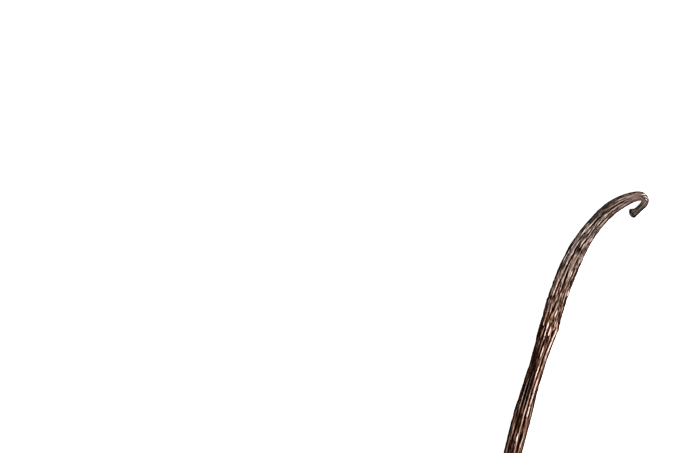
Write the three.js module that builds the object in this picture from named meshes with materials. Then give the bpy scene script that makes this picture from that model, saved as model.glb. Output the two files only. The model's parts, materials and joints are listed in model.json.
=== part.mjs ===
// A cured vanilla pod lying on a table, as one closed solid.
//
// Lengths are millimetres, angles are degrees where a name or comment says so and radians elsewhere.
// The pod is a tapering skin drawn along a middle line that is settled first: a hooked stalk, a thick
// body that bends gently and a blunt blossom end. The frame has +Z up, the body runs along -Y away
// from the hook, the hook turns towards +X, and the origin is under the middle of the pod's box.
//
// Every point of the skin is found from two numbers: the distance along the middle line from the
// cut stalk, and the angle round the pod, which is 0 on the inner side of the bend and 90 degrees
// on top. The skin is a sphere geometry whose rings and sides take up those two numbers.

import * as THREE from "three";
import { mergeVertices } from "three/addons/utils/BufferGeometryUtils.js";

// ---------------------------------------------------------------- driving dimensions

const POD_LENGTH = 172;
const SIDES = 64;

// The sides are packed closer on top, by this many radians, where the folds are deepest.
const TOP_PACKING = 0.3;

// Direction of the middle line: distance from the cut stalk, heading in degrees from +X.
// The crook is the turn between 4.4 and 9.4 mm.
const HEADINGS = [
  [0, 55.5], [4.4, 60.5], [6.9, 134], [9.4, 203.5], [12.5, 215.5], [16, 224.2], [22, 238.3], [30, 248],
  [40, 259.2], [50, 264.8], [62, 268.8], [80, 267.5], [95, 270.1], [108, 271.1], [POD_LENGTH, 282],
];

// Size of the section: distance, width and thickness. The stalk flares at its cut, the body is widest
// at the joint-like swelling near 65 mm, and the section is flatter in the body than in the stalk.
const GIRTHS = [
  [0, 2.6, 2.5], [1.2, 2.3, 2.3], [3, 2.2, 2.2], [5.5, 2.4, 2.2], [8, 2.75, 2.4], [12, 3.5, 2.9],
  [16, 4.1, 3.3], [20, 4.4, 3.6], [25, 4.6, 3.7], [34, 5.5, 4.1], [42, 6.15, 4.4], [60, 6.25, 4.6],
  [65.5, 6.35, 4.7], [68.5, 6.0, 4.5], [72, 5.4, 4.2], [77, 5.05, 4.0], [84, 5.15, 4.0], [90, 5.65, 4.2],
  [96, 6.2, 4.4], [104, 5.9, 4.2], [130, 5.6, 4.1], [150, 5.0, 3.7], [164, 3.4, 2.6],
  [POD_LENGTH, 2.0, 1.7],
];

// The cut face of the stalk leans back at the top, is hollowed in its middle and has a rounded rim.
const CUT_SLANT = 0.55;
const CUT_SLANT_LENGTH = 3;

// The rings of the cut face: how far along the stalk they lie, and how far out from its middle.
const CUT_RINGS = [
  { distance: 0.3, reach: 0 },
  { distance: 0.2, reach: 0.5 },
  { distance: 0, reach: 0.78 },
  { distance: 0.1, reach: 0.93 },
];

// The rounding of the blossom end.
const TIP_DEPTH = 1.1;
const TIP_RINGS = 4;

// How finely the skin is divided: the stretch's ends and its number of rings.
const STRETCHES = [
  { from: 0.25, to: 4, rings: 5 },
  { from: 4, to: 10, rings: 12 },
  { from: 10, to: 22, rings: 8 },
  { from: 22, to: 60, rings: 18 },
  { from: 60, to: 72, rings: 8 },
  { from: 72, to: 150, rings: 26 },
  { from: 150, to: POD_LENGTH - TIP_DEPTH, rings: 8 },
];

// The pod sinks this far into its own flat underside, and its hooked end is lifted off the table.
const FLAT_DEPTH = 0.14;
const HOOK_LIFT = 0.7;
const HOOK_LIFT_END = 24;

// A vanilla fruit is three-sided, and the cured pod still shows it in its section.
const THREE_SIDED = 0.045;
const CROWN_ANGLE = 88;
const CROWN_SWAY = 6;

// Lengthwise ridges all round the pod, with the spacing of a shrunken skin.
const RIDGES_ROUND = 18;
const RIDGE_DEPTH = 0.24;

// The deep folds on top. "from" and "to" are distances along the pod. "start" and "end" say how far
// the fold lies from the pod's middle at either end, towards the inner side of the bend.
const FOLDS = [
  { from: 13, to: 26, start: -1.65, end: -1.85, depth: 0.3 },
  { from: 15, to: 30, start: 0.05, end: -0.6, depth: 0.5 },
  { from: 22.5, to: 27, start: 1.1, end: 1.05, depth: 0.42 },
  { from: 26, to: 31, start: 0.8, end: 0.75, depth: 0.36 },
  { from: 29, to: 37, start: -0.8, end: -1.55, depth: 0.36 },
  { from: 30, to: 57, start: -0.15, end: -1.75, depth: 0.48 },
  { from: 31, to: 40, start: 0.7, end: 0, depth: 0.4 },
  { from: 42, to: 50, start: 0.05, end: 0.1, depth: 0.22 },
  { from: 53, to: 63, start: 0.35, end: -1.4, depth: 0.44 },
  { from: 57, to: 66, start: -1.5, end: -1.95, depth: 0.36 },
  { from: 62, to: 78, start: -0.1, end: -0.6, depth: 0.46 },
  { from: 62.5, to: 75, start: 2.0, end: 1.0, depth: 0.5 },
  { from: 65, to: 71, start: -1.25, end: -1.2, depth: 0.36 },
  { from: 67, to: 98, start: 2.6, end: 1.75, depth: 0.42 },
  { from: 71, to: 82, start: 1.15, end: 0.9, depth: 0.5 },
  { from: 78, to: 109, start: 0.9, end: 0.9, depth: 0.58 },
  { from: 78, to: 97, start: -0.05, end: -0.35, depth: 0.44 },
  { from: 81, to: 97, start: -1.2, end: -1.25, depth: 0.44 },
  { from: 95, to: 118, start: -1.4, end: -2.1, depth: 0.56 },
  { from: 99, to: 128, start: -0.45, end: -0.55, depth: 0.4 },
  { from: 106, to: 146, start: 1.1, end: 1.4, depth: 0.46 },
  { from: 116, to: 158, start: -1.0, end: -0.7, depth: 0.5 },
  { from: 126, to: 166, start: 0.5, end: 0.3, depth: 0.46 },
];
const FOLD_HALF_WIDTH = 0.28;
const FOLD_SHOULDER = 0.25;
const FOLD_SHOULDER_PLACE = 0.6;

// The longest of the narrow crests between the folds.
const CRESTS = [
  { from: 26.5, to: 35, start: -0.45, end: -1.1, height: 0.14 },
  { from: 30, to: 39, start: 0.3, end: 0.05, height: 0.14 },
  { from: 62.5, to: 76, start: 2.6, end: 1.35, height: 0.26 },
  { from: 71, to: 82, start: 1.7, end: 1.35, height: 0.16 },
  { from: 74, to: 85, start: 0.55, end: 0.35, height: 0.18 },
  { from: 80, to: 98, start: 1.35, end: 1.25, height: 0.24 },
  { from: 82, to: 96, start: -1.6, end: -1.75, height: 0.14 },
  { from: 84, to: 100, start: 0.25, end: 0.05, height: 0.17 },
  { from: 98, to: 116, start: -2.3, end: -2.45, height: 0.12 },
  { from: 100, to: 108, start: -0.1, end: -0.15, height: 0.32 },
  { from: 110, to: 140, start: 0.7, end: 0.9, height: 0.24 },
  { from: 114, to: 152, start: -0.4, end: -0.2, height: 0.22 },
];
const CREST_HALF_WIDTH = 0.22;

// The length over which a fold or crest comes up at its start and dies out at its end.
const RUN_OUT = 4;

// The knob at the cut, a slight bulge on the outer side of the bend, and the swelling opposite it,
// where the pod was once joined to its neighbour.
const SWELLINGS = [
  { at: 0.4, side: 1.2, length: 0.7, width: 0.9, height: 0.4 },
  { at: 57.5, side: -3.2, length: 3.5, width: 1, height: 0.22 },
  { at: 64.6, side: 2.7, length: 2.6, width: 1.1, height: 0.3 },
];

// The mean of the absolute value of a sine.
const MEAN_WAVE = 2 / Math.PI;

const HEADING_STEP = 0.1;
const RADIANS = Math.PI / 180;

// ---------------------------------------------------------------- curves through the tables

// A smooth function through one column of a table whose first column is the distance. Its slope at a
// row is the harmonic mean of the slopes beside it, so it never overshoots the rows.
function curveThrough(rows, column) {
  const last = rows.length - 1;
  const riseAfter = (i) => (rows[i + 1][column] - rows[i][column]) / (rows[i + 1][0] - rows[i][0]);
  const slopes = rows.map((row, i) => {
    const before = riseAfter(Math.max(i - 1, 0));
    const after = riseAfter(Math.min(i, last - 1));
    return before * after > 0 ? (2 * before * after) / (before + after) : 0;
  });
  return (distance) => {
    const next = rows.findIndex((row, i) => i > 0 && distance <= row[0]);
    const i = next < 0 ? last - 1 : next - 1;
    const span = rows[i + 1][0] - rows[i][0];
    const t = THREE.MathUtils.clamp((distance - rows[i][0]) / span, 0, 1);
    const rest = 1 - t;
    const ends = rows[i][column] * (1 + 2 * t) * rest * rest + rows[i + 1][column] * t * t * (3 - 2 * t);
    return ends + span * t * rest * (slopes[i] * rest - slopes[i + 1] * t);
  };
}

const headingAt = curveThrough(HEADINGS, 1);
const widthAt = curveThrough(GIRTHS, 1);
const thicknessAt = curveThrough(GIRTHS, 2);

// ---------------------------------------------------------------- the middle line

// Walks along the headings in short steps and returns a function that gives the point and the
// direction at any distance. Before the first step the line goes on straight.
function walkMiddleLine() {
  const points = [new THREE.Vector2(0, 0)];
  const steps = Math.round(POD_LENGTH / HEADING_STEP);
  for (let i = 0; i < steps; i += 1) {
    const heading = headingAt((i + 0.5) * HEADING_STEP) * RADIANS;
    const step = new THREE.Vector2(Math.cos(heading), Math.sin(heading)).multiplyScalar(HEADING_STEP);
    points.push(points[i].clone().add(step));
  }
  return (distance) => {
    const heading = headingAt(distance) * RADIANS;
    const ahead = new THREE.Vector2(Math.cos(heading), Math.sin(heading));
    const i = THREE.MathUtils.clamp(Math.round(distance / HEADING_STEP), 0, steps);
    return { point: points[i].clone().addScaledVector(ahead, distance - i * HEADING_STEP), ahead };
  };
}

const middleAt = walkMiddleLine();

// ---------------------------------------------------------------- relief of the skin

// 0 to 1 as the distance goes from one place to another.
function fade(distance, from, to) {
  return THREE.MathUtils.smoothstep(distance, from, to);
}

// How strongly the skin is wrinkled: hardly on the stalk and the crook, fully from the neck on.
function wrinkling(distance) {
  const neck = 0.4 + 0.3 * fade(distance, 6, 12) + 0.3 * fade(distance, 12, 20);
  return neck * (1 - 0.55 * fade(distance, 150, POD_LENGTH));
}

// Rounded ridges with narrow furrows between them, unevenly spaced, deep in some stretches and
// nearly smooth in others.
function ridgeRelief(distance, angle) {
  const slowWander = 0.8 * Math.sin(2 * angle + 0.031 * distance);
  const quickWander = 0.6 * Math.sin(3 * angle - 0.047 * distance + 1.3);
  const ridge = Math.abs(Math.sin(0.5 * RIDGES_ROUND * angle + slowWander + quickWander)) - MEAN_WAVE;
  const stretch = Math.sin(0.13 * distance + 3 * Math.sin(angle)) * Math.sin(0.071 * distance - 2 * angle);
  return RIDGE_DEPTH * (0.62 + 0.38 * stretch) * ridge;
}

// The angle at which a place lies that is so far from the middle, on the upper side.
function angleOfSide(side, distance) {
  return Math.acos(THREE.MathUtils.clamp((2 * side) / widthAt(distance), -0.98, 0.98));
}

// Distance across the skin from an angle on the upper side to another angle.
function across(angle, from, distance) {
  const turn = Math.atan2(Math.sin(angle - from), Math.cos(angle - from));
  return (turn * (widthAt(distance) + thicknessAt(distance))) / 4;
}

// How far a fold or crest has come up at a distance, from 0 past its ends to 1 between them.
function presence(line, distance) {
  const runOut = Math.min(RUN_OUT, 0.4 * (line.to - line.from));
  return fade(distance, line.from, line.from + runOut) * (1 - fade(distance, line.to - runOut, line.to));
}

// Distance across the skin from the middle of a fold or crest.
function offLine(line, distance, angle) {
  const along = (distance - line.from) / (line.to - line.from);
  const side = line.start + (line.end - line.start) * along;
  return Math.abs(across(angle, angleOfSide(side, distance), distance));
}

// One deep fold: a valley with a raised shoulder on both sides.
function foldRelief(fold, distance, angle) {
  const present = presence(fold, distance);
  if (present === 0) {
    return 0;
  }
  const off = offLine(fold, distance, angle);
  const valley = Math.exp(-((off / FOLD_HALF_WIDTH) ** 2));
  const shoulder = Math.exp(-(((off - FOLD_SHOULDER_PLACE) / FOLD_HALF_WIDTH) ** 2));
  return fold.depth * present * (FOLD_SHOULDER * shoulder - valley);
}

// One narrow crest with a rounded top.
function crestRelief(crest, distance, angle) {
  const present = presence(crest, distance);
  if (present === 0) {
    return 0;
  }
  const off = offLine(crest, distance, angle);
  return crest.height * present * Math.exp(-((off / CREST_HALF_WIDTH) ** 2));
}

// One swelling, which dies out softly all round.
function swellingRelief(swelling, distance, angle) {
  const off = across(angle, angleOfSide(swelling.side, distance), distance) / swelling.width;
  const along = (distance - swelling.at) / swelling.length;
  return swelling.height * Math.exp(-off * off - along * along);
}

// How far the skin stands out of its plain section.
function relief(distance, angle) {
  const total = (rows, reliefOf) => rows.reduce((sum, row) => sum + reliefOf(row, distance, angle), 0);
  const placed = total(FOLDS, foldRelief) + total(CRESTS, crestRelief) + total(SWELLINGS, swellingRelief);
  return ridgeRelief(distance, angle) * wrinkling(distance) + placed;
}

// ---------------------------------------------------------------- the skin

// The height of the middle line, which lets the underside rest and lifts the hooked end.
function middleHeight(distance) {
  const lift = HOOK_LIFT * (1 - fade(distance, 0, HOOK_LIFT_END));
  return thicknessAt(distance) / 2 - FLAT_DEPTH + lift;
}

// The slant of the cut face dies out along the first few millimetres of the stalk.
function slantAt(distance) {
  return CUT_SLANT * THREE.MathUtils.clamp(1 - distance / CUT_SLANT_LENGTH, 0, 1);
}

// A point of the skin. "reach" is 1 on the skin itself and less inside the faces at both ends.
function skinPoint(distance, angle, reach) {
  const station = distance + slantAt(distance) * Math.sin(angle) * reach;
  const { point, ahead } = middleAt(station);
  const width = widthAt(distance);
  const thickness = thicknessAt(distance);
  const crown = (CROWN_ANGLE + CROWN_SWAY * Math.sin(0.06 * distance)) * RADIANS;
  const section = 1 + THREE_SIDED * Math.cos(3 * (angle - crown)) * wrinkling(distance);
  const out = new THREE.Vector2(thickness * Math.cos(angle), width * Math.sin(angle)).normalize();
  const depth = relief(distance, angle);
  const side = reach * ((width / 2) * Math.cos(angle) * section + depth * out.x);
  const rise = reach * ((thickness / 2) * Math.sin(angle) * section + depth * out.y);
  const height = Math.max(middleHeight(distance) + rise, 0);
  return new THREE.Vector3(point.x - ahead.y * side, point.y + ahead.x * side, height);
}

// The rings of the skin in order, from the middle of the cut face to the blossom tip.
function ringPlaces() {
  const places = [...CUT_RINGS];
  for (const { from, to, rings } of STRETCHES) {
    for (let i = 0; i < rings; i += 1) {
      places.push({ distance: from + ((to - from) * i) / rings, reach: 1 });
    }
  }
  for (let i = 0; i <= TIP_RINGS; i += 1) {
    const turn = (Math.PI / 2) * (i / TIP_RINGS);
    const reach = i === TIP_RINGS ? 0 : Math.cos(turn);
    places.push({ distance: POD_LENGTH - TIP_DEPTH * (1 - Math.sin(turn)), reach });
  }
  return places;
}

// Draws a sphere out along the pod: its rings become the places above, and its sides the angles.
function podGeometry() {
  const places = ringPlaces();
  const geometry = new THREE.SphereGeometry(1, SIDES, places.length - 1);
  const positions = geometry.getAttribute("position");
  for (let i = 0; i < positions.count; i += 1) {
    const { distance, reach } = places[Math.floor(i / (SIDES + 1))];
    const side = i % (SIDES + 1);
    const turn = -2 * Math.PI * ((side % SIDES) / SIDES);
    const angle = turn + TOP_PACKING * Math.cos(turn);
    const { x, y, z } = skinPoint(distance, angle, reach);
    positions.setXYZ(i, x, y, z);
  }
  geometry.deleteAttribute("normal");
  geometry.deleteAttribute("uv");
  const closed = mergeVertices(geometry);
  closed.computeBoundingBox();
  const middle = closed.boundingBox.getCenter(new THREE.Vector3());
  closed.translate(-middle.x, -middle.y, -closed.boundingBox.min.z);
  closed.computeVertexNormals();
  return closed;
}

const skin = new THREE.MeshStandardMaterial({ color: 0x5c4438, roughness: 0.5, metalness: 0 });
const pod = new THREE.Mesh(podGeometry(), skin);
pod.name = "vanilla_pod";

const group = new THREE.Group();
group.add(pod);

export default group;
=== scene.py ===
# %% [markdown]
# # A cured vanilla pod
#
# A vanilla pod is the fruit of an orchid. It is picked green, then sweated and dried for months, until
# its skin is dark, oily and shrunk into long wrinkles. This lesson dresses one pod that lies on a white
# table. The imported CAD model gives its true size and place. Blender makes the fine skin around it.
#
# The frame is loaded first, and its box is kept, so that the finished skin can be set on it.

import json
import math

import bmesh
import bpy
from mathutils import Matrix, Vector, noise

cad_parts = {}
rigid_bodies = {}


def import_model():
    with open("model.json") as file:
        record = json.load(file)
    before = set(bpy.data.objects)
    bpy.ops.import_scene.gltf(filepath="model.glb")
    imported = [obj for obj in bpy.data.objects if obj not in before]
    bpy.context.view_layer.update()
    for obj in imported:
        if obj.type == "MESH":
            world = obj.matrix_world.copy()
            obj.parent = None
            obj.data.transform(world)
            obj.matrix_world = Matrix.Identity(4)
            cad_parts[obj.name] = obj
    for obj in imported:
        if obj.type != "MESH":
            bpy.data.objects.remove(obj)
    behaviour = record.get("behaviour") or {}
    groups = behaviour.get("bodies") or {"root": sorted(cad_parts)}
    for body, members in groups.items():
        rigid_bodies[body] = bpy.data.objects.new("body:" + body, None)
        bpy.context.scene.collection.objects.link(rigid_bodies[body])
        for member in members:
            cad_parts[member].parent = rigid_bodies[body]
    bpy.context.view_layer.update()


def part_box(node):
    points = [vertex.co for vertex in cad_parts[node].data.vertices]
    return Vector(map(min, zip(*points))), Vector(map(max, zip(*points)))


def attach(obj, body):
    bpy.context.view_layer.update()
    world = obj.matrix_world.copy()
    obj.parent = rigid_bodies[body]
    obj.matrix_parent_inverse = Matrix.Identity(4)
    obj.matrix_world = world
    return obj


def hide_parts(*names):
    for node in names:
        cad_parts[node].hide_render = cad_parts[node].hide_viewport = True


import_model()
CAD_NODE = "vanilla_pod"
MM = 0.001
cad_low, cad_high = (Vector(corner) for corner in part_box(CAD_NODE))
print("frame box in mm:", [round(value / MM, 1) for value in cad_high - cad_low])

# %% [markdown]
# ## The middle line
#
# A long bent thing is easiest to shape when its middle line is settled first. A curve object could hold
# it. Here it is a table of headings, which is easy to correct at one place: how far along the pod, and
# which way the pod points there. The hooked stalk turns through more than 140 degrees in 5 mm, and the
# body only bends gently. The same numbers shaped the CAD model, so the skin lies where the frame says.
# Only the rim of the cut stands 0.6 mm farther out.

# %% Smooth curves through tables
POD_LENGTH = 172.0
HEADINGS = [  # distance in mm, heading in degrees
    (0, 55.5), (4.4, 60.5), (6.9, 134), (9.4, 203.5), (12.5, 215.5), (16, 224.2), (22, 238.3), (30, 248),
    (40, 259.2), (50, 264.8), (62, 268.8), (80, 267.5), (95, 270.1), (108, 271.1), (POD_LENGTH, 282),
]


def curve_through(rows, column):
    """A smooth function through one column of a table that never overshoots its rows."""
    last = len(rows) - 1

    def rise_after(i):
        return (rows[i + 1][column] - rows[i][column]) / (rows[i + 1][0] - rows[i][0])

    slopes = []
    for i in range(len(rows)):
        before = rise_after(max(i - 1, 0))
        after = rise_after(min(i, last - 1))
        slopes.append(2 * before * after / (before + after) if before * after > 0 else 0.0)

    def value_at(distance):
        i = next((k for k in range(1, last + 1) if distance <= rows[k][0]), last) - 1
        span = rows[i + 1][0] - rows[i][0]
        t = min(max((distance - rows[i][0]) / span, 0.0), 1.0)
        rest = 1 - t
        ends = rows[i][column] * (1 + 2 * t) * rest * rest + rows[i + 1][column] * t * t * (3 - 2 * t)
        return ends + span * t * rest * (slopes[i] * rest - slopes[i + 1] * t)

    return value_at


heading_at = curve_through(HEADINGS, 1)
print("heading at the cut, the hook and the tip:", [round(heading_at(s)) for s in (0, 7, POD_LENGTH)])

# %% Walk the middle line
HEADING_STEP = 0.1


def walk_middle_line():
    """Returns a function that gives the point and the direction of the middle line at a distance."""
    points = [Vector((0.0, 0.0))]
    steps = round(POD_LENGTH / HEADING_STEP)
    for i in range(steps):
        heading = math.radians(heading_at((i + 0.5) * HEADING_STEP))
        points.append(points[i] + HEADING_STEP * Vector((math.cos(heading), math.sin(heading))))

    def middle_at(distance):
        heading = math.radians(heading_at(distance))
        ahead = Vector((math.cos(heading), math.sin(heading)))
        i = min(max(round(distance / HEADING_STEP), 0), steps)
        return points[i] + ahead * (distance - i * HEADING_STEP), ahead

    return middle_at


middle_at = walk_middle_line()
print("the tip lies from the cut in mm:", [round(value, 1) for value in middle_at(POD_LENGTH)[0]])

# %% [markdown]
# ## The girth
#
# The section is a flattened oval that is round in the stalk, narrow in the neck and widest near the
# swelling at 65 mm, where the pod has slumped. A fresh pod is three-sided, and a trace of that is left.
# Its underside has settled flat on the table, and the hooked end is a little lifted. Two more curves
# through a table give the width and the thickness, because the eye reads a pod by its outline.

# %% Width, thickness and height
GIRTHS = [  # distance, width, thickness
    (0, 2.6, 2.5), (1.2, 2.3, 2.3), (3, 2.2, 2.2), (5.5, 2.4, 2.2), (8, 2.75, 2.4), (12, 3.5, 2.9),
    (16, 4.1, 3.3), (20, 4.4, 3.6), (25, 4.6, 3.7), (34, 5.5, 4.1), (42, 6.15, 4.4), (60, 6.25, 4.6),
    (65.5, 6.35, 4.7), (68.5, 6.0, 4.5), (72, 5.4, 4.2), (77, 5.05, 4.0), (84, 5.15, 4.0),
    (90, 5.65, 4.2), (96, 6.2, 4.4), (104, 5.9, 4.2), (130, 5.6, 4.1), (150, 5.0, 3.7), (164, 3.4, 2.6),
    (POD_LENGTH, 2.0, 1.7),
]
FLAT_DEPTH = 0.14
HOOK_LIFT = 0.7
HOOK_LIFT_END = 24

width_at = curve_through(GIRTHS, 1)
thickness_at = curve_through(GIRTHS, 2)


def fade(distance, start, end):
    """0 to 1, smoothly, as the distance goes from start to end."""
    t = min(max((distance - start) / (end - start), 0.0), 1.0)
    return t * t * (3 - 2 * t)


def middle_height(distance):
    """Height of the middle line over the table."""
    return thickness_at(distance) / 2 - FLAT_DEPTH + HOOK_LIFT * (1 - fade(distance, 0, HOOK_LIFT_END))


print("widest in mm:", max(width_at(s) for s in range(int(POD_LENGTH))))

# %% Three sides, and where the skin is wrinkled
THREE_SIDED = 0.045
CROWN_ANGLE = 88
CROWN_SWAY = 6
CROWN_SWAY_RATE = 0.06
STALK_WRINKLING = 0.4
WRINKLING_GAINS = [(6, 12, 0.3), (12, 20, 0.3)]  # from, to, gain
TIP_FROM = 150
TIP_LOSS = 0.55


def wrinkling(distance):
    """How strongly the skin is wrinkled: hardly on the stalk and the crook, fully from the neck on."""
    gains = (gain * fade(distance, start, end) for start, end, gain in WRINKLING_GAINS)
    return sum(gains, STALK_WRINKLING) * (1 - TIP_LOSS * fade(distance, TIP_FROM, POD_LENGTH))


def section_factor(distance, angle):
    """How far the three-sided section stands out of the plain oval, as a factor."""
    crown = math.radians(CROWN_ANGLE + CROWN_SWAY * math.sin(CROWN_SWAY_RATE * distance))
    return 1 + THREE_SIDED * math.cos(3 * (angle - crown)) * wrinkling(distance)


print("wrinkling of the stalk, the neck and the body:", [round(wrinkling(s), 2) for s in (3, 12, 60)])

# %% [markdown]
# ## Even ridges
#
# When the flesh dries, the skin is too large for it and buckles into lengthwise ridges, like the skin of
# a prune drawn out. Most are even enough for a formula: the absolute value of a sine makes rounded
# ridges with sharp furrows between them. Two slower waves space them unevenly, and two more make them
# deeper in some stretches than in others.

# %% Ridges by formula
RIDGES_ROUND = 18
RIDGE_DEPTH = 0.24
RIDGE_WANDERS = [(0.8, 2, 0.031, 0), (0.6, 3, -0.047, 1.3)]  # amount, waves round, rate along, start
RIDGE_UNEVENNESS = 0.38
SWING_RATE, SWING_ROUND = 0.13, 3
TWIST_RATE, TWIST_ROUND = 0.071, 2
MEAN_WAVE = 0.64  # the mean of the absolute value of a sine, 2 / pi, which keeps the girth as it is


def ridge_relief(distance, angle):
    """Height of the lengthwise ridges, unevenly spaced and deeper in some stretches than in others."""
    wander = sum(
        amount * math.sin(waves * angle + rate * distance + start)
        for amount, waves, rate, start in RIDGE_WANDERS
    )
    ridge = abs(math.sin(RIDGES_ROUND / 2 * angle + wander)) - MEAN_WAVE
    swing = math.sin(SWING_RATE * distance + SWING_ROUND * math.sin(angle))
    twist = math.sin(TWIST_RATE * distance - TWIST_ROUND * angle)
    return RIDGE_DEPTH * (1 - RIDGE_UNEVENNESS + RIDGE_UNEVENNESS * (swing * twist)) * ridge


highest = max(ridge_relief(90, k / 100) for k in range(628))
print("the highest even ridge at 90 mm rises to mm:", round(highest, 2))

# %% [markdown]
# ## Folds and crests
#
# The deep folds and the raised crests give this pod its face. They could be sculpted, but as rows of a
# table they can be moved, compared and used again: the CAD model has all the folds and 12 of the crests
# from the same rows. A side is counted in millimetres from the middle of the upper side.

# %% Where the folds and crests run
FOLDS = [  # from, to, side at the start, side at the end, depth
    (13, 26, -1.65, -1.85, 0.3),
    (15, 30, 0.05, -0.6, 0.5),
    (22.5, 27, 1.1, 1.05, 0.42),
    (26, 31, 0.8, 0.75, 0.36),
    (29, 37, -0.8, -1.55, 0.36),
    (30, 57, -0.15, -1.75, 0.48),
    (31, 40, 0.7, 0.0, 0.4),
    (42, 50, 0.05, 0.1, 0.22),
    (53, 63, 0.35, -1.4, 0.44),
    (57, 66, -1.5, -1.95, 0.36),
    (62, 78, -0.1, -0.6, 0.46),
    (62.5, 75, 2.0, 1.0, 0.5),
    (65, 71, -1.25, -1.2, 0.36),
    (67, 98, 2.6, 1.75, 0.42),
    (71, 82, 1.15, 0.9, 0.5),
    (78, 109, 0.9, 0.9, 0.58),
    (78, 97, -0.05, -0.35, 0.44),
    (81, 97, -1.2, -1.25, 0.44),
    (95, 118, -1.4, -2.1, 0.56),
    (99, 128, -0.45, -0.55, 0.4),
    (106, 146, 1.1, 1.4, 0.46),
    (116, 158, -1.0, -0.7, 0.5),
    (126, 166, 0.5, 0.3, 0.46),
]
CRESTS = [  # from, to, side at the start, side at the end, height
    (0.8, 5, -0.1, -0.15, 0.12),
    (7.6, 12, -0.65, -0.85, 0.14),
    (8.5, 14, 0.15, 0.3, 0.1),
    (12.5, 19, -0.95, -1.15, 0.16),
    (13, 18, -0.35, -0.4, 0.12),
    (13, 21, 1.05, 1.45, 0.1),
    (21.5, 27, 0.75, 0.55, 0.1),
    (22, 25.5, 0.25, 0.15, 0.1),
    (26.5, 35, -0.45, -1.1, 0.14),
    (30, 39, 0.3, 0.05, 0.14),
    (32, 37, 1.1, 0.85, 0.16),
    (40, 51, 1.25, 0.9, 0.08),
    (43, 50, -0.6, -0.8, 0.08),
    (44, 52, 0.5, 0.45, 0.1),
    (45.5, 49, -1.5, -1.75, 0.14),
    (49, 57, -0.9, -1.0, 0.12),
    (50, 62, 0.45, 0.3, 0.14),
    (54, 60, -1.6, -1.4, 0.12),
    (55, 62, -1.1, -1.2, 0.16),
    (56, 62, -2.4, -2.3, 0.16),
    (57.5, 62, 1.05, 0.55, 0.2),
    (62.5, 66, 1.25, 1.65, 0.22),
    (62.5, 76, 2.6, 1.35, 0.26),
    (63, 70, 0.4, 0.4, 0.24),
    (65, 70, -0.7, -0.75, 0.26),
    (69.5, 77, 0.05, -0.1, 0.2),
    (71, 82, 1.7, 1.35, 0.16),
    (74, 85, 0.55, 0.35, 0.18),
    (80, 98, 1.35, 1.25, 0.24),
    (82, 96, -1.6, -1.75, 0.14),
    (84, 100, 0.25, 0.05, 0.17),
    (86, 95, -0.65, -0.7, 0.08),
    (98, 116, -2.3, -2.45, 0.12),
    (99, 109, 1.75, 1.7, 0.22),
    (100, 108, -0.1, -0.15, 0.32),
    (110, 140, 0.7, 0.9, 0.24),
    (114, 152, -0.4, -0.2, 0.22),
]
RUN_OUT = 4
RUN_OUT_SHARE = 0.4
FARTHEST_SIDE = 0.98


def angle_of_side(side, distance):
    """The angle of a place that lies so far from the middle, on the upper side."""
    return math.acos(min(max(2 * side / width_at(distance), -FARTHEST_SIDE), FARTHEST_SIDE))


def lines_at(distance, rows):
    """The folds or crests that cross one section: the angle of each and its depth or height there."""
    found = []
    for start, end, first_side, last_side, amount in rows:
        run_out = min(RUN_OUT, RUN_OUT_SHARE * (end - start))
        present = fade(distance, start, start + run_out) * (1 - fade(distance, end - run_out, end))
        if present > 0:
            side = first_side + (last_side - first_side) * (distance - start) / (end - start)
            found.append((angle_of_side(side, distance), amount * present))
    return found


crossing = [len(lines_at(64, rows)) for rows in (FOLDS, CRESTS)]
print("folds and crests across the section at 64 mm:", crossing)

# %% Their height over the skin
FOLD_HALF_WIDTH = 0.26
FOLD_SHOULDER = 0.25
FOLD_SHOULDER_PLACE = 0.6
CREST_HALF_WIDTH = 0.2
# width and height of the pale line painted along a crest, as dried skin and a painted highlight
PALE_CREST_HALF_WIDTH = 0.2
PALE_CREST_HEIGHT = 0.34


def across(angle, from_angle, radius):
    """Distance across the skin between two angles."""
    turn = angle - from_angle
    return math.atan2(math.sin(turn), math.cos(turn)) * radius


def fold_relief(folds, crests, angle, radius):
    """For each fold a valley with a raised shoulder on both sides, and for each crest a rounded rib."""
    total = 0.0
    for fold_angle, depth in folds:
        off = abs(across(angle, fold_angle, radius))
        valley = math.exp(-((off / FOLD_HALF_WIDTH) ** 2))
        shoulder = math.exp(-(((off - FOLD_SHOULDER_PLACE) / FOLD_HALF_WIDTH) ** 2))
        total += depth * (FOLD_SHOULDER * shoulder - valley)
    for crest_angle, height in crests:
        total += height * math.exp(-((across(angle, crest_angle, radius) / CREST_HALF_WIDTH) ** 2))
    return total


def dryness_and_highlight(crests, angle, radius):
    """How pale the skin is painted along the crests, as dried skin and a painted highlight: near 1 along
    the top of the highest crests, and 0 beside them.
    """
    total = 0.0
    for crest_angle, height in crests:
        off = across(angle, crest_angle, radius) / PALE_CREST_HALF_WIDTH
        total += height / PALE_CREST_HEIGHT * math.exp(-(off ** 2))
    return total


print("dryness over the crests at 104 mm:",
      [round(dryness_and_highlight([crest], crest[0], 1), 2) for crest in lines_at(104, CRESTS)])

# %% [markdown]
# ## Swellings
#
# A few lumps are neither folds nor ridges: the knob where the stalk was broken off, and places where the
# body has bulged. Soft hills on the skin are enough for them. A hill below 0 is a dent, and one beyond
# the cut rounds its outer corner.

# %% Lumps on the skin
SWELLINGS = [  # distance, side, half length, half width, height
    (0.1, 1.2, 1.0, 0.9, 0.75),
    (-0.6, -1.2, 0.9, 0.8, -0.35),
    (57.5, -3.2, 3.5, 1.0, 0.22),
    (64.6, 2.7, 2.6, 1.1, 0.3),
]


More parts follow.
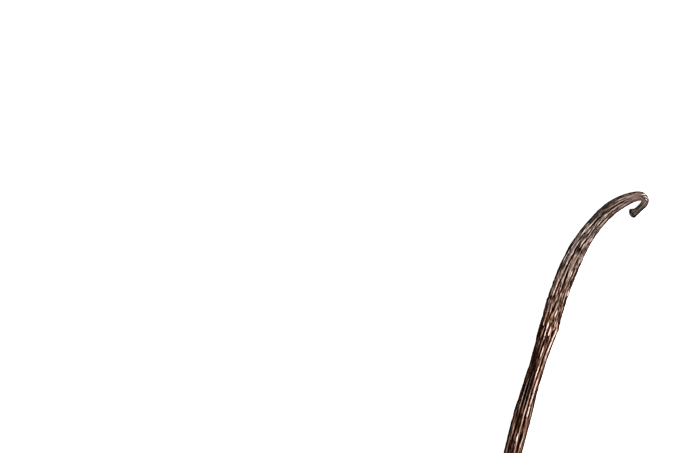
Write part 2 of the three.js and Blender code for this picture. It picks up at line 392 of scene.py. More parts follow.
def swelling_relief(distance, angle, radius):
    """The knob and the rounded corner at the cut, and the bulges on both sides of the body."""
    total = 0.0
    for at, side, length, width, height in SWELLINGS:
        off = across(angle, angle_of_side(side, distance), radius) / width
        along = (distance - at) / length
        total += height * math.exp(-off * off - along * along)
    return total


print("the knob stands out in mm:", round(swelling_relief(0.1, angle_of_side(1.2, 0.1), 1.2), 2))

# %% [markdown]
# ## Fine wrinkles
#
# Between the folds the skin is covered in finer wrinkles, a few tenths of a millimetre across and many
# times as long. Noise makes them. It is read on a cylinder that is stretched along the pod, so it has no
# seam. Noise passes through 0 along thin wandering lines, and an exponential of its distance from 0 turns
# each line into a sharp furrow, or into a narrow ridge where the depth is below 0. All of this could be
# bump in the material, but then the outline and the mesh would lose it.

# %% Noise drawn out along the pod
MEAN_RADIUS = 2.6
WANDER_ANGLE = 0.22
WANDER_LENGTH = 16
WANDER_RADIUS = 2
WRINKLES = [  # size across in mm, length along in mm, depth in mm (below 0: height), seed
    (0.85, 14.0, 0.22, 3.1),
    (0.7, 10.0, -0.15, 44.3),
    (0.45, 7.0, 0.14, 17.7),
    (0.4, 5.0, -0.11, 61.9),
]
WRINKLE_SHARPNESS = 0.11
WRINKLE_MEAN = 0.32
CRUMPLES = (0.5, 1.7, 0.22, 53.3)
LEAST_CRUMPLED = 0.15
SLUMP_START = (38, 52)
SLUMP_END = (65, 72)


def drawn_out_noise(distance, angle, size, length, seed):
    """Smooth noise that is as fine as size across the skin and as long as length along it."""
    ring = MEAN_RADIUS / size
    return noise.noise(Vector((distance / length + seed, ring * math.cos(angle), ring * math.sin(angle))))


def crumpling(distance):
    """How strongly the skin is crumpled: most where the pod has slumped."""
    slumped = fade(distance, *SLUMP_START) * (1 - fade(distance, *SLUMP_END))
    return LEAST_CRUMPLED + (1 - LEAST_CRUMPLED) * slumped


def wrinkle_relief(distance, angle):
    """The finer wrinkles, which bend and join because their angle wanders along the pod."""
    place = (distance / WANDER_LENGTH, WANDER_RADIUS * math.cos(angle), WANDER_RADIUS * math.sin(angle))
    bent = angle + WANDER_ANGLE * noise.noise(Vector(place))
    total = 0.0
    for size, length, depth, seed in WRINKLES:
        off = abs(drawn_out_noise(distance, bent, size, length, seed))
        total += depth * (WRINKLE_MEAN - math.exp(-off / WRINKLE_SHARPNESS))
    size, length, height, seed = CRUMPLES
    return total + crumpling(distance) * height * drawn_out_noise(distance, bent, size, length, seed)


deepest = min(wrinkle_relief(90, k / 100) for k in range(628))
print("the deepest fine wrinkle at 90 mm cuts in to mm:", round(deepest, 2))

# %% [markdown]
# ## The crook
#
# Where the stalk is bent sharply, the skin on the outer side is stretched into short pale creases that
# run round the stalk, with dark gaps between them. A sine along the pod makes them, and its phase sways
# with the angle, so that no crease runs quite straight. The same sine paints their colour: the tops
# paler, as stretched skin and a painted highlight, and the gaps dark, as painted shade.

# %% Creases round the crook
CREASE_FROM = 5.4
CREASE_TO = 9.0
CREASE_RUN_OUT = 1
CREASE_SPACING = 0.95
CREASE_SWAY = 0.5
CREASE_DEPTH = 0.13
# how strongly the creases paint the colour: paler tops, as stretched skin and a painted highlight, and
# painted shade in the gaps
CREASE_PALE_AND_SHADE = 1.9
CREASE_ANGLE = math.radians(126)
CREASE_SPREAD = 0.9


def crease_relief(distance, angle):
    """Short creases round the outer side of the crook: above 0 on a crease, below 0 between two."""
    starts = fade(distance, CREASE_FROM, CREASE_FROM + CREASE_RUN_OUT)
    present = starts * (1 - fade(distance, CREASE_TO - CREASE_RUN_OUT, CREASE_TO))
    if present == 0:
        return 0.0
    off = across(angle, CREASE_ANGLE, 1) / CREASE_SPREAD
    phase = distance / CREASE_SPACING + CREASE_SWAY * math.sin(3 * angle)
    return CREASE_DEPTH * present * math.exp(-off * off) * (abs(math.sin(math.pi * phase)) - MEAN_WAVE)


print("creases round the crook:", round((CREASE_TO - CREASE_FROM) / CREASE_SPACING))

# %% [markdown]
# ## The cut and the rings
#
# The cut end is flared and leans back at the top, and its middle has dried hollow. It could be cut off
# with a plane, but that leaves a sharp edge. Here the first rings of the skin lie in the cut face: from
# its middle outwards, then over a rounded rim on to the stalk. The rings are close together where the
# skin bends most or has the finest lines.

# %% Rings from the cut to the tip
CUT_PLACE = -0.6
CUT_SLANT = 0.55
CUT_SLANT_LENGTH = 3
CUT_RINGS = 12
CUT_REACH = 0.97
CUT_HOLLOW = 0.32
CUT_HOLLOW_FLOOR = 0.3
CUT_RIM = 0.78
CUT_ROUNDING = 0.25
TIP_DEPTH = 1.1
TIP_RINGS = 12
STRETCHES = [  # from, to, rings
    (CUT_PLACE + CUT_ROUNDING, 4, 28),
    (4, 10, 46),
    (10, 24, 46),
    (24, 110, 210),
    (110, POD_LENGTH - TIP_DEPTH, 74),
]


def slant_at(distance):
    """The slant of the cut face, which dies out along the stalk."""
    return CUT_SLANT * min(max(1 - distance / CUT_SLANT_LENGTH, 0.0), 1.0)


def ring_places():
    """The rings of the skin, from the middle of the cut face to the tip: distance and reach."""
    places = []
    for i in range(CUT_RINGS):
        reach = CUT_REACH * i / (CUT_RINGS - 1)
        hollow = CUT_HOLLOW * (1 - fade(reach, CUT_HOLLOW_FLOOR, CUT_RIM))
        rounding = CUT_ROUNDING * max((reach - CUT_RIM) / (1 - CUT_RIM), 0.0) ** 2
        places.append((CUT_PLACE + hollow + rounding, reach))
    for start, end, rings in STRETCHES:
        places += [(start + (end - start) * i / rings, 1.0) for i in range(rings)]
    for i in range(TIP_RINGS + 1):
        turn = math.pi / 2 * i / TIP_RINGS
        places.append((POD_LENGTH - TIP_DEPTH * (1 - math.sin(turn)), math.cos(turn)))
    return places


PLACES = ring_places()
print("rings along the pod:", len(PLACES))

# %% [markdown]
# ## Darker and paler patches
#
# The skin did not dry evenly. Some flanks stayed dark and smooth, and some places dried pale. Some
# patches
# are also painted light and shade: the dark ones on the left flank from 67 mm on and the narrow ones at
# 75 and 86 mm along the fold on the right are partly painted shade, and the two broad pale ones on the
# left flank at 38 and 58 mm are partly painted light, where the key light from the right hardly reaches.
# These patches don't follow the ridges, so each is placed as a soft oval on the upper side. One value on
# each vertex holds them, because it follows the skin wherever the pod bends.

# %% Tone of the skin
# Dark rows on the left flank from 67 mm on and the narrow dark rows at 75 and 86 mm beside the right fold
# are partly painted shade; the pale rows at 38 and 58 mm on the left flank are partly painted light.
PATCHES = [  # distance, side, half length, half width, tone: below 0 is darker, above 0 is paler
    (2, -0.85, 3, 0.3, -1.4),
    (15, 1.4, 3, 0.5, 0.6),
    (20.5, -1.75, 4, 0.4, -1.3),
    (21, 0.8, 5, 0.4, -1.0),
    (22, -0.6, 4, 0.4, 0.7),
    (29, 2.2, 6, 0.5, -0.5),
    (38, -2.1, 14, 0.7, 0.7),
    (49, 2.8, 9, 0.45, -1.6),
    (49, 1.2, 5, 0.3, -0.5),
    (58, -1.5, 4, 0.6, 0.6),
    (62.8, 0.1, 0.6, 0.6, 1.2),
    (63.7, 2.2, 0.9, 0.5, 1.4),
    (66.4, 2.6, 1.7, 0.3, 1.7),
    (67, -2.4, 5, 0.8, -0.7),
    (75, -1.5, 6, 1.3, -0.8),
    (75, 2.4, 7, 0.3, -2.2),
    (76, 1.1, 6, 0.45, -0.9),
    (86, 1.95, 7, 0.35, -1.5),
    (86, 0.05, 7, 0.25, -1.2),
    (86, -0.85, 6, 0.25, -0.7),
    (88, -1.3, 9, 1.0, -0.8),
    (97.5, -1.2, 3.5, 1.2, -0.8),
    (105, -1.4, 7, 0.7, -0.7),
    (126, -1.4, 16, 1.0, -0.6),
]
UNDERSIDE_FADE = 3


def tone_at(distance, side, angle):
    """How much darker or paler than usual the skin is at a place. The underside has no patches."""
    total = 0.0
    for at, middle, half_length, half_width, tone in PATCHES:
        along = (distance - at) / half_length
        off = (side - middle) / half_width
        total += tone * math.exp(-along * along - off * off)
    return total * min(max(1 + UNDERSIDE_FADE * math.sin(angle), 0.0), 1.0)


print("tone of the dark flank at 77 mm:", round(tone_at(77, -1.5, 2.1), 2))

# %% [markdown]
# ## Drawing out a sphere
#
# The skin could be lofted from curves, or sculpted. Here it starts as a UV sphere, because that is
# closed and has rings and sides already. Each ring is sent to a place along the pod and each side to an
# angle round it. The sides are packed closer on top, where the pod is looked at.
#
# Five values are kept on each vertex for the material: where it lies on the straightened pod, how high
# it stands over its surroundings, how pale or dark its patch is, how pale it is painted along a crest and
# on the crook's creases, as dried skin and a painted highlight, with painted shade between the creases,
# and how far out it lies on the cut face.
#
# The sphere's operator hands out its vertices and faces in another order each time. So the vertices are
# numbered ring by ring, and both are sorted by those numbers, which makes every run give the same mesh.

# %% Sides and surroundings
SIDES = 224
TOP_PACKING = 0.3
CREST_REACH = 8
CREST_SCALE = 0.16
SURROUNDINGS_SHARE = 0.8


def side_angle(turn):
    """The angle round the pod for a turn round the sphere, with the sides packed closer on top."""
    return turn + TOP_PACKING * math.cos(turn)


def over_surroundings(heights):
    """How far each height of a ring stands over the mean of its neighbours, in units of CREST_SCALE."""
    count = len(heights)
    if count == 1:
        return [0.0]
    window = 2 * CREST_REACH + 1
    near = sum(heights[i % count] for i in range(-CREST_REACH, CREST_REACH + 1))
    result = []
    for i, value in enumerate(heights):
        result.append((value - SURROUNDINGS_SHARE * near / window) / CREST_SCALE)
        near += heights[(i + CREST_REACH + 1) % count] - heights[(i - CREST_REACH) % count]
    return result


step = 2 * math.pi / SIDES
gaps = [math.degrees(side_angle(turn + step) - side_angle(turn)) for turn in (math.pi / 2, -math.pi / 2)]
print("degrees from one side to the next, on top and below:", [round(gap, 2) for gap in gaps])

# %% Shape one ring of the skin
KEPT_VALUES = ("crest", "tone", "dry_and_highlight_line", "cut_face")
print("values kept on each vertex:", 1 + len(KEPT_VALUES))


def shape_ring(members, distance, reach, straight, kept):
    """Moves the vertices of one ring to their place on the pod and keeps the five values on them."""
    width = width_at(distance)
    thickness = thickness_at(distance)
    radius = (width + thickness) / 4
    folds = lines_at(distance, FOLDS)
    crests = lines_at(distance, CRESTS)
    strength = wrinkling(distance)
    height = middle_height(distance)
    slant = slant_at(distance)
    reliefs = []
    for turn, vertex in members:
        angle = side_angle(turn)
        ridges = ridge_relief(distance, angle) * strength + fold_relief(folds, crests, angle, radius)
        crease = crease_relief(distance, angle)
        fine = wrinkle_relief(distance, angle) * strength + crease
        depth = ridges + fine + swelling_relief(distance, angle, radius)
        out = Vector((thickness * math.cos(angle), width * math.sin(angle))).normalized()
        factor = section_factor(distance, angle)
        side = reach * (width / 2 * math.cos(angle) * factor + depth * out.x)
        rise = reach * (thickness / 2 * math.sin(angle) * factor + depth * out.y)
        point, ahead = middle_at(distance + slant * math.sin(angle) * reach)
        vertex.co = (point.x - ahead.y * side, point.y + ahead.x * side, max(height + rise, 0.0))
        vertex[straight] = (distance, MEAN_RADIUS * math.cos(angle), MEAN_RADIUS * math.sin(angle))
        vertex[kept["tone"]] = tone_at(distance, width / 2 * math.cos(angle), angle)
        # pale along the crests and crease tops, as dried skin and a painted highlight; below 0 in the
        # gaps between creases, painted shade
        crease_pale_and_shade = CREASE_PALE_AND_SHADE * crease / CREASE_DEPTH
        vertex[kept["dry_and_highlight_line"]] = dryness_and_highlight(crests, angle, radius) + crease_pale_and_shade
        vertex[kept["cut_face"]] = reach if distance < POD_LENGTH / 2 else 1.0
        reliefs.append(ridges + fine)
    for (turn, vertex), value in zip(members, over_surroundings(reliefs)):
        vertex[kept["crest"]] = value


# %% Shape the whole skin
def shape_skin(bm):
    """Sorts the vertices of a sphere into its rings, shapes every ring and puts all in a fixed order."""
    straight = bm.verts.layers.float_vector.new("straight_mm")
    kept = {name: bm.verts.layers.float.new(name) for name in KEPT_VALUES}
    last = len(PLACES) - 1
    rings = [[] for place in PLACES]
    for vertex in bm.verts:
        x, y, z = vertex.co
        ring = round(math.acos(min(max(z, -1.0), 1.0)) / math.pi * last)
        rings[ring].append((math.atan2(-y, x), vertex))
    number = 0
    for members, (distance, reach) in zip(rings, PLACES):
        members.sort(key=lambda member: member[0])
        shape_ring(members, distance, reach, straight, kept)
        for turn, vertex in members:
            vertex.index = number
            number += 1
    bm.faces.sort(key=lambda face: sum(vertex.index ** 2 for vertex in face.verts))
    bm.verts.sort()


bm = bmesh.new()
bmesh.ops.create_uvsphere(bm, u_segments=SIDES, v_segments=len(PLACES) - 1, radius=1.0)
shape_skin(bm)
bmesh.ops.scale(bm, vec=(MM, MM, MM), verts=bm.verts)
crest_layer = bm.verts.layers.float["crest"]
spread = sorted(vertex[crest_layer] for vertex in bm.verts)
print("vertices:", len(bm.verts), "faces:", len(bm.faces))
print("crest at 5, 25, 50, 75 and 95 per cent:",
      [round(spread[int(share * len(spread))], 2) for share in (0.05, 0.25, 0.5, 0.75, 0.95)])

# %% [markdown]
# The frame's origin is under the middle of the pod's box, so the skin is moved until the middle of its
# own box is the middle of the frame's. The move is kept: the camera needs it later. A sphere drawn out
# like this may come out inside out, so its normals are worked out afresh.

# %% Set the skin on the frame
low = Vector([min(vertex.co[i] for vertex in bm.verts) for i in range(3)])
high = Vector([max(vertex.co[i] for vertex in bm.verts) for i in range(3)])
cut_place = (cad_low + cad_high - low - high) / 2
cut_place.z = cad_low.z - low.z
bmesh.ops.translate(bm, vec=cut_place, verts=bm.verts)
bmesh.ops.recalc_face_normals(bm, faces=bm.faces)
print("the cut end lies in mm at:", [round(value / MM, 2) for value in cut_place])

# %% [markdown]
# ## A UV map in strips
#
# The pod is 30 times as long as it is wide. Unrolled in one piece it would waste nearly all of a square
# picture. So the map cuts it into three lengths that lie side by side. The seam along each runs
# underneath. The cut face, where the rings no longer move along the pod, gets a margin of its own before
# the first strip.

# %% Unroll the skin
UV_STRIPS = 3
UV_GAP = 0.006
UV_MARGIN = 0.02
SPARE_LENGTH = 2
SEAM_ANGLE = -math.pi / 2


def unroll(bm):
    """Lays the faces out in strips, by the place of each corner on the straightened pod."""
    layer = bm.loops.layers.uv.new("OFBake")
    straight = bm.verts.layers.float_vector["straight_mm"]
    cut_face = bm.verts.layers.float["cut_face"]
    strip_length = POD_LENGTH / UV_STRIPS
    strip_height = 1 / UV_STRIPS
    for face in bm.faces:
        places = [loop.vert[straight] for loop in face.loops]
        mean = sum((place.x for place in places)) / len(places)
        strip = min(int(mean / strip_length), UV_STRIPS - 1)
        turns = [(math.atan2(place.z, place.y) - SEAM_ANGLE) % (2 * math.pi) for place in places]
        if max(turns) - min(turns) > math.pi:
            turns = [turn + 2 * math.pi if turn < math.pi else turn for turn in turns]
        for loop, place, turn in zip(face.loops, places, turns):
            inward = 1 - loop.vert[cut_face]
            along = (place.x - strip * strip_length - inward) / (strip_length + SPARE_LENGTH)
            loop[layer].uv = (
                UV_GAP + UV_MARGIN + (1 - 2 * UV_GAP - UV_MARGIN) * along,
                strip_height * (strip + UV_GAP + (1 - 2 * UV_GAP) * turn / (2 * math.pi)),
            )


unroll(bm)
mesh = bpy.data.meshes.new("pod_skin")
bm.to_mesh(mesh)
bm.free()
for polygon in mesh.polygons:
    polygon.use_smooth = True
pod_skin = bpy.data.objects.new("pod_skin", mesh)
bpy.context.scene.collection.objects.link(pod_skin)
print("triangles in the skin:", sum(len(polygon.vertices) - 2 for polygon in mesh.polygons))

# %% [markdown]
# ## The cured skin
#
# Cured vanilla skin is plant tissue full of oil. It is chocolate brown and darker in its furrows, and
# grey to pinkish brown on its ridges, where it has dried. Here the furrows are also painted nearly black,
# as painted shade, and the ridges paler, as a painted highlight. It has a satin sheen: the highlights are
# long, thin and broken. Painting a picture for it would work, but the picture would blur from near. So
# one
# Principled shader gets layers of colour, as a painter would glaze them: each layer shows only through
# its own mask.
#
# Colours are written in sRGB, as they look on a screen, and one function turns them linear.

# %% Colours
def linear(hex_colour):
    """An sRGB hex colour as linear red, green, blue and alpha."""
    channels = [int(hex_colour[i:i + 2], 16) / 255 for i in (0, 2, 4)]
    return [c / 12.92 if c <= 0.04045 else ((c + 0.055) / 1.055) ** 2.4 for c in channels] + [1.0]


# FURROW and HOLLOW also give the painted shade in the furrows
FURROW = linear("0d0402")
HOLLOW = linear("2a130a")
CHOCOLATE = linear("604434")
GREY_BROWN = linear("78645a")
RED_BROWN = linear("3c1c0e")
CARAMEL = linear("8e5c3c")
RIDGE_GREY = linear("a08c82")
RIDGE_TAN = linear("946e58")
PALE_GREY = linear("d8c6bc")
RIDGE_PALE = linear("e2c6ba")
OILY_GLEAM = linear("d8a084")
NECK_RED = linear("825042")
CROOK_GREY = linear("988a82")
STALK_GREY = linear("2c2a26")
# dark for dark patches and for painted shade on the flanks
DARK_PATCH_AND_FLANK_SHADE = linear("271209")
SCAR_TAN = linear("987041")
CUT_TAN = linear("7c695c")
CUT_RIM_BROWN = linear("1e1612")
print("chocolate in linear light:", [round(channel, 3) for channel in CHOCOLATE[:3]])

# %% [markdown]
# One small function adds every node. Its inputs are numbers, colours or the outputs of other nodes. The
# material starts with what it reads from the skin: the place on the straightened pod, as a distance along
# it and two directions across it, and the four other values that were kept on the vertices.

# %% A helper for nodes, and what the material reads
def add_node(tree, kind, inputs=None, **settings):
    """Adds a node, sets its properties, and fills or links its sockets."""
    node = tree.nodes.new(kind)
    for name, value in settings.items():
        setattr(node, name, value)
    for socket, value in (inputs or {}).items():
        if isinstance(value, bpy.types.NodeSocket):
            tree.links.new(value, node.inputs[socket])
        else:
            node.inputs[socket].default_value = value
    return node


skin_material = bpy.data.materials.new("cured_vanilla_skin")
skin_material.use_nodes = True
tree = skin_material.node_tree
tree.nodes.clear()
place = add_node(tree, "ShaderNodeAttribute", attribute_name="straight_mm").outputs["Vector"]
along, side, up = add_node(tree, "ShaderNodeSeparateXYZ", {0: place}).outputs
crest, tone, dry_and_highlight, face = (
    add_node(tree, "ShaderNodeAttribute", attribute_name=name).outputs["Fac"] for name in KEPT_VALUES
)
print("nodes so far:", len(tree.nodes))

# %% [markdown]
# A mask says from 0 to 1 how much of a layer shows. Here it is a product of parts. A part is a number, a
# value that is ready, or a value with two limits: then it rises smoothly from 0 at the first limit to 1
# at the second. So (along, 5, 3.4) is 1 on the stalk and 0 past 5 mm. A layer is a colour and the parts
# of its mask.

# %% Masks and layers
COLOUR_A, COLOUR_B, COLOUR_RESULT = 6, 7, 2  # a Mix node has one set of sockets for each kind of data
VALUE_A, VALUE_B, VALUE_RESULT = 2, 3, 0


def mask(*parts):
    """The product of its parts: numbers, ready values, or (value, where it is 0, where it is 1)."""
    factors = []
    for part in parts:
        if isinstance(part, tuple):
            value, zero_at, one_at = part
            limits = {"Value": value, "From Min": zero_at, "From Max": one_at}
            rise = add_node(tree, "ShaderNodeMapRange", limits, interpolation_type="SMOOTHSTEP")
            part = rise.outputs["Result"]
        factors.append(part)
    product = factors[0]
    for factor in factors[1:]:
        multiply = add_node(tree, "ShaderNodeMath", {0: product, 1: factor}, operation="MULTIPLY")
        product = multiply.outputs[0]
    return product


def layered(base, *layers):
    """Lays colours over a base, each through its mask."""
    for colour, *parts in layers:
        sockets = {"Factor": mask(*parts), COLOUR_A: base, COLOUR_B: colour}
        base = add_node(tree, "ShaderNodeMix", sockets, data_type="RGBA").outputs[COLOUR_RESULT]
    return base


# %% [markdown]
# Nearly every pattern on the skin runs along the pod. Noise that is squeezed along the straightened pod
# gives such streaks in true millimetres. Where smooth noise passes through its middle value, it leaves
# thin lines that wander but never stop, like the finest furrows. At a third of a millimetre to a pixel
# the real ones run together, so the finest streaks here are drawn just coarse enough to show.

# %% Streaks and thin lines
STREAK_ROUGHNESS = 0.55
LINE_EDGES = (0.045, 0.015)


def streaks(size, length, detail):
    """Noise as fine as size across the pod and as long as length along it, in millimetres."""
    squeeze = {0: place, 1: (size / length, 1, 1)}
    squeezed = add_node(tree, "ShaderNodeVectorMath", squeeze, operation="MULTIPLY").outputs[0]
    return add_node(tree, "ShaderNodeTexNoise", {
        "Vector": squeezed, "Scale": 1 / size, "Detail": detail, "Roughness": STREAK_ROUGHNESS,
    }).outputs["Fac"]


def thin_lines(size, length):
    """A part of a mask that is 1 on thin lines, about size apart and as long as length, and else 0."""
    off = add_node(tree, "ShaderNodeMath", {0: streaks(size, length, 0), 1: 0.5}, operation="SUBTRACT")
    gap = add_node(tree, "ShaderNodeMath", {0: off.outputs[0]}, operation="ABSOLUTE")
    return (gap.outputs[0], *LINE_EDGES)


# %% [markdown]
# The ground colour comes first. It changes along the pod: a dark grey stalk, a grey crook, a reddish
# neck that is still streaked, a crumpled stretch with caramel blotches, and a red-brown body. The ridges
# are greyer near the stalk and warmer on the body. The patches lie over the ground.

# %% Ground colour
ridge = layered(RIDGE_GREY, (RIDGE_TAN, (along, 36, 62)))
pale = layered(PALE_GREY, (RIDGE_PALE, (along, 36, 62)))
coarse = streaks(1.1, 9, 1)
young = mask((along, 28, 14), (along, 6, 12))
slumped = mask((along, 28, 46), (along, 70, 64))
ground = layered(
    CHOCOLATE,
    (GREY_BROWN, (streaks(2.2, 14, 2), 0.38, 0.62)),
    (NECK_RED, (along, 26, 12), 0.8),
    (CROOK_GREY, (along, 9.5, 7)),
    (STALK_GREY, (along, 5, 3.4)),
    (HOLLOW, (coarse, 0.48, 0.38), young, 0.7),
    (ridge, (coarse, 0.53, 0.63), young, 0.5),
    (CARAMEL, (streaks(1.2, 3, 1), 0.48, 0.6), slumped, 0.5),
    (RED_BROWN, (along, 44, 72), 0.9),
    (HOLLOW, (streaks(1.4, 5, 2), 0.5, 0.36), 0.5),
    # dark patches, partly painted shade, and pale patches, partly painted light on the left flank
    (DARK_PATCH_AND_FLANK_SHADE, (tone, 0.0, -0.8), 0.8),
    (ridge, (tone, 0.0, 0.6), 0.7),
)
print("nodes so far:", len(tree.nodes))

# %% [markdown]
# Furrows and ridges follow. Each set of streaks has a dark half and a pale half, and dark patches hide
# most of the pale ones. Then the real relief takes over, with painted shade and a painted highlight: what
# lies below its surroundings is painted dark, as shade in the furrows, what stands above them pale, and
# the tops of the crests palest, partly for dried skin. All these masks could be painted by hand, but
# noise and the values on the vertices give them at any distance from the eye.

# %% Furrows and ridges
shown = mask((tone, -1.1, 0.0))
lines = streaks(0.42, 8, 1)
fine = streaks(0.32, 5, 0)
dashes = streaks(0.36, 3, 1)
dashed = mask((along, 6, 36), (along, 70, 64))
relief = layered(
    ground,
    (FURROW, (lines, 0.49, 0.43), 0.95),
    (ridge, (lines, 0.53, 0.58), shown, 0.9),
    (FURROW, (fine, 0.48, 0.4), 0.7),
    (ridge, (fine, 0.54, 0.62), shown, 0.6),
    (ridge, (dashes, 0.54, 0.6), dashed, 0.8),
    (pale, (dashes, 0.58, 0.66), dashed, 0.8),
    (FURROW, (dashes, 0.48, 0.42), dashed, 0.95),
    # painted shade: the skin is painted dark where it lies below its surroundings, in the furrows
    (HOLLOW, (crest, 0.2, -0.2), 0.85),
    (FURROW, (crest, 0.0, -0.45)),
    # painted highlight on the ridges that stand above their surroundings, partly also the paler dried
    # skin
    (ridge, (crest, 0.7, 1.3), shown),
    (ridge, thin_lines(0.9, 14), shown, 0.4),
    (FURROW, thin_lines(0.7, 14), 0.85),
    # pale tops of the crests and creases, as dried skin and a painted highlight
    (pale, (dry_and_highlight, 0.25, 0.55), shown, (streaks(0.6, 2, 1), 0.38, 0.5)),
    # painted shade: dark in the gaps between the creases of the crook
    (FURROW, (dry_and_highlight, 0.0, -0.4), 0.95),
)
print("nodes so far:", len(tree.nodes))

# %% [markdown]
# The last layers belong to places: the dark stalk, the tan scar on the swelling, painted shade on the
# flanks where they turn down to the table, painted shade along the lower sides of the stalk, and the cut.
# The cut face is a dark rim round tan pith. The pith has no direction along the pod, so its mottling is
# noise on the plain Object coordinates, 0.4 mm coarse.

# %% Flanks, stalk and cut
PITH_SIZE = 0.4 * MM
# painted shade: the flanks are painted darker where they turn down to the table, higher up on the body
# than near the stalk
shaded_flank = add_node(tree, "ShaderNodeMix", {
    "Factor": mask((along, 50, 66)), VALUE_A: mask((up, 1.4, 0.8)), VALUE_B: mask((up, 1.8, 0.9)),
}).outputs[VALUE_RESULT]
# painted shade along the lower sides of the stalk: to 5.5 mm on one side and 8 mm on the other
edge_shade_end = add_node(tree, "ShaderNodeMix", {
    "Factor": mask((side, 0.3, -0.3)), VALUE_A: mask((along, 5.5, 4.2)), VALUE_B: mask((along, 8, 6)),
}).outputs[VALUE_RESULT]
here = add_node(tree, "ShaderNodeTexCoord").outputs["Object"]
pith = add_node(tree, "ShaderNodeTexNoise", {"Vector": here, "Scale": 1 / PITH_SIZE, "Detail": 2})
finished = layered(
    relief,
    (STALK_GREY, (along, 5.8, 4), 0.5),
    (SCAR_TAN, (tone, 0.7, 1.3), 0.8),
    # painted shade on the lower flanks
    (DARK_PATCH_AND_FLANK_SHADE, shaded_flank, 0.9),
    # painted shade on the lower sides of the stalk
    (FURROW, (up, 2.2, 1.4), edge_shade_end),
    (CUT_RIM_BROWN, (face, 0.95, 0.85)),
    (CUT_TAN, (face, 0.75, 0.6), (pith.outputs["Fac"], 0.4, 0.6)),
)
print("nodes so far:", len(tree.nodes))

# %% [markdown]
# The sheen is that of a thin film of oil on rough skin. The roughness lies between 0.34 and 0.48 in
# short streaks, so that a highlight breaks up, and a bump of a tenth of a millimetre stands for the
# grain. The dark furrows hardly gleam, because there the light is caught between their walls: the
# specular level follows the lightness of the colour. A thin coat lies on the crests alone, which are
# rubbed smooth, and gives them their bright lines. The IOR is below that of oil, because the film is
# thin and broken.

# %% Sheen
rough = add_node(tree, "ShaderNodeMapRange", {
    "Value": streaks(0.6, 5, 2), "From Min": 0.3, "From Max": 0.7, "To Min": 0.34, "To Max": 0.48,
}).outputs["Result"]
grain = add_node(tree, "ShaderNodeBump", {
    "Strength": 0.6, "Distance": 0.1 * MM, "Height": streaks(0.26, 3, 3),
}).outputs["Normal"]
lightness = add_node(tree, "ShaderNodeRGBToBW", {"Color": finished}).outputs["Val"]
gleam = add_node(tree, "ShaderNodeMapRange", {
    "Value": lightness, "From Min": 0.01, "From Max": 0.06, "To Min": 0.05, "To Max": 0.5,
}).outputs["Result"]
shader = add_node(tree, "ShaderNodeBsdfPrincipled", {
    "Base Color": finished, "Roughness": rough, "Normal": grain, "IOR": 1.2,
    "Specular IOR Level": gleam, "Specular Tint": OILY_GLEAM,
    "Coat Weight": mask((crest, 0.8, 1.8), 0.5), "Coat Roughness": 0.32, "Coat IOR": 1.5,
})
add_node(tree, "ShaderNodeOutputMaterial", {"Surface": shader.outputs[0]})
pod_skin.data.materials.append(skin_material)
print("nodes in the skin:", len(tree.nodes))

# %% [markdown]
# ## The table
#
# The table is white card. It is matt, so it shows no highlight, and it is lit so well that it nearly
# burns out: a little glow of its own keeps the shadows on it faint. That glow would also shine on the pod
# from below, so the card is hidden from reflections and from bounced light.

# %% Table
FLOOR_SIZE = 3.0
floor_bm = bmesh.new()
bmesh.ops.create_grid(floor_bm, x_segments=1, y_segments=1, size=FLOOR_SIZE / 2)
floor_mesh = bpy.data.meshes.new("white_table")
floor_bm.to_mesh(floor_mesh)
floor_bm.free()
floor = bpy.data.objects.new("white_table", floor_mesh)
bpy.context.scene.collection.objects.link(floor)
paper = bpy.data.materials.new("white_card")
paper.use_nodes = True
card = paper.node_tree.nodes["Principled BSDF"]
card.inputs["Base Color"].default_value = linear("f2f2f2")
card.inputs["Roughness"].default_value = 0.9
card.inputs["Emission Color"].default_value = (1.0, 1.0, 1.0, 1.0)
card.inputs["Emission Strength"].default_value = 0.82
floor.data.materials.append(paper)
floor.visible_glossy = False
floor.visible_diffuse = False
print("table in m:", FLOOR_SIZE)

# %% [markdown]
# ## The light
#
# The long thin highlights come from a tall narrow soft box high on the right. A broad and much weaker
# one on the left opens the shadows. Their places are given as seen by the camera, which is turned a
# little, so that they stay where they are if the camera's turn is changed. The world adds a trace of even
# light, and the Standard view transform keeps the table white.

# %% Light
VIEW_TURN = math.radians(15)


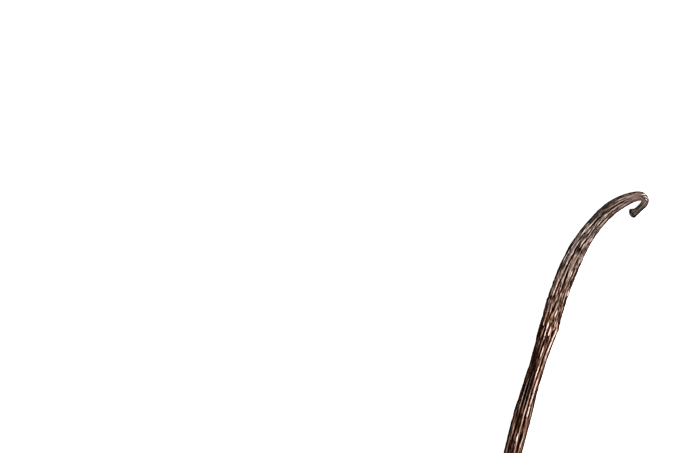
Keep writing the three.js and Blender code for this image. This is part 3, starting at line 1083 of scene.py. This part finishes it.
def soft_box(name, across_view, up_view, height, size, power):
    """An area light that looks at the pod from a place given in the camera's own directions."""
    place_in_view = Vector((across_view, up_view, height))
    lamp_place = Matrix.Rotation(VIEW_TURN, 3, "Z") @ place_in_view
    light = bpy.data.lights.new(name, "AREA")
    light.shape = "RECTANGLE"
    light.size, light.size_y = size
    light.energy = power
    lamp = bpy.data.objects.new(name, light)
    lamp.location = lamp_place
    lamp.rotation_euler = lamp_place.to_track_quat("Z", "Y").to_euler()
    bpy.context.scene.collection.objects.link(lamp)
    print(name, "shines with", power, "W")


soft_box("key_box", 0.54, -0.1, 0.78, (0.2, 0.6), 22)
soft_box("fill_box", -0.5, 0.3, 0.8, (0.6, 0.8), 4.5)
world = bpy.data.worlds.new("studio")
world.use_nodes = True
world.node_tree.nodes["Background"].inputs["Color"].default_value = (1.0, 1.0, 1.0, 1.0)
world.node_tree.nodes["Background"].inputs["Strength"].default_value = 0.05
bpy.context.scene.world = world
bpy.context.scene.view_settings.view_transform = "Standard"

# %% [markdown]
# ## The camera
#
# The camera looks straight down through a long lens from far above, so that the near and the far side of
# the pod are the same size. It is turned a little, so the pod leans. Its place is worked out from the
# pixel on which the cut end should fall, at three pixels to the millimetre.

# %% Camera
PIXEL = MM / 3
FRAME_WIDTH, FRAME_HEIGHT = 679, 453
CUT_PIXEL = Vector((633.25, 214.25))
LENS = 200
SENSOR = 36
LOOK_HEIGHT = 2 * MM
from_centre = Vector(((CUT_PIXEL.x - FRAME_WIDTH / 2), (FRAME_HEIGHT / 2 - CUT_PIXEL.y), 0)) * PIXEL
aim = cut_place.xy - (Matrix.Rotation(VIEW_TURN, 3, "Z") @ from_centre).xy
camera_data = bpy.data.cameras.new("camera")
camera_data.lens = LENS
camera_data.sensor_width = SENSOR
camera = bpy.data.objects.new("camera", camera_data)
camera.location = (aim.x, aim.y, LOOK_HEIGHT + FRAME_WIDTH * PIXEL * LENS / SENSOR)
camera.rotation_euler = (0, 0, VIEW_TURN)
bpy.context.scene.collection.objects.link(camera)
bpy.context.scene.camera = camera
print("camera height in mm:", round(camera.location.z / MM))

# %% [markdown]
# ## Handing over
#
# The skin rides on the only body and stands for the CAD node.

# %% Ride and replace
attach(pod_skin, "root")
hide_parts(CAD_NODE)
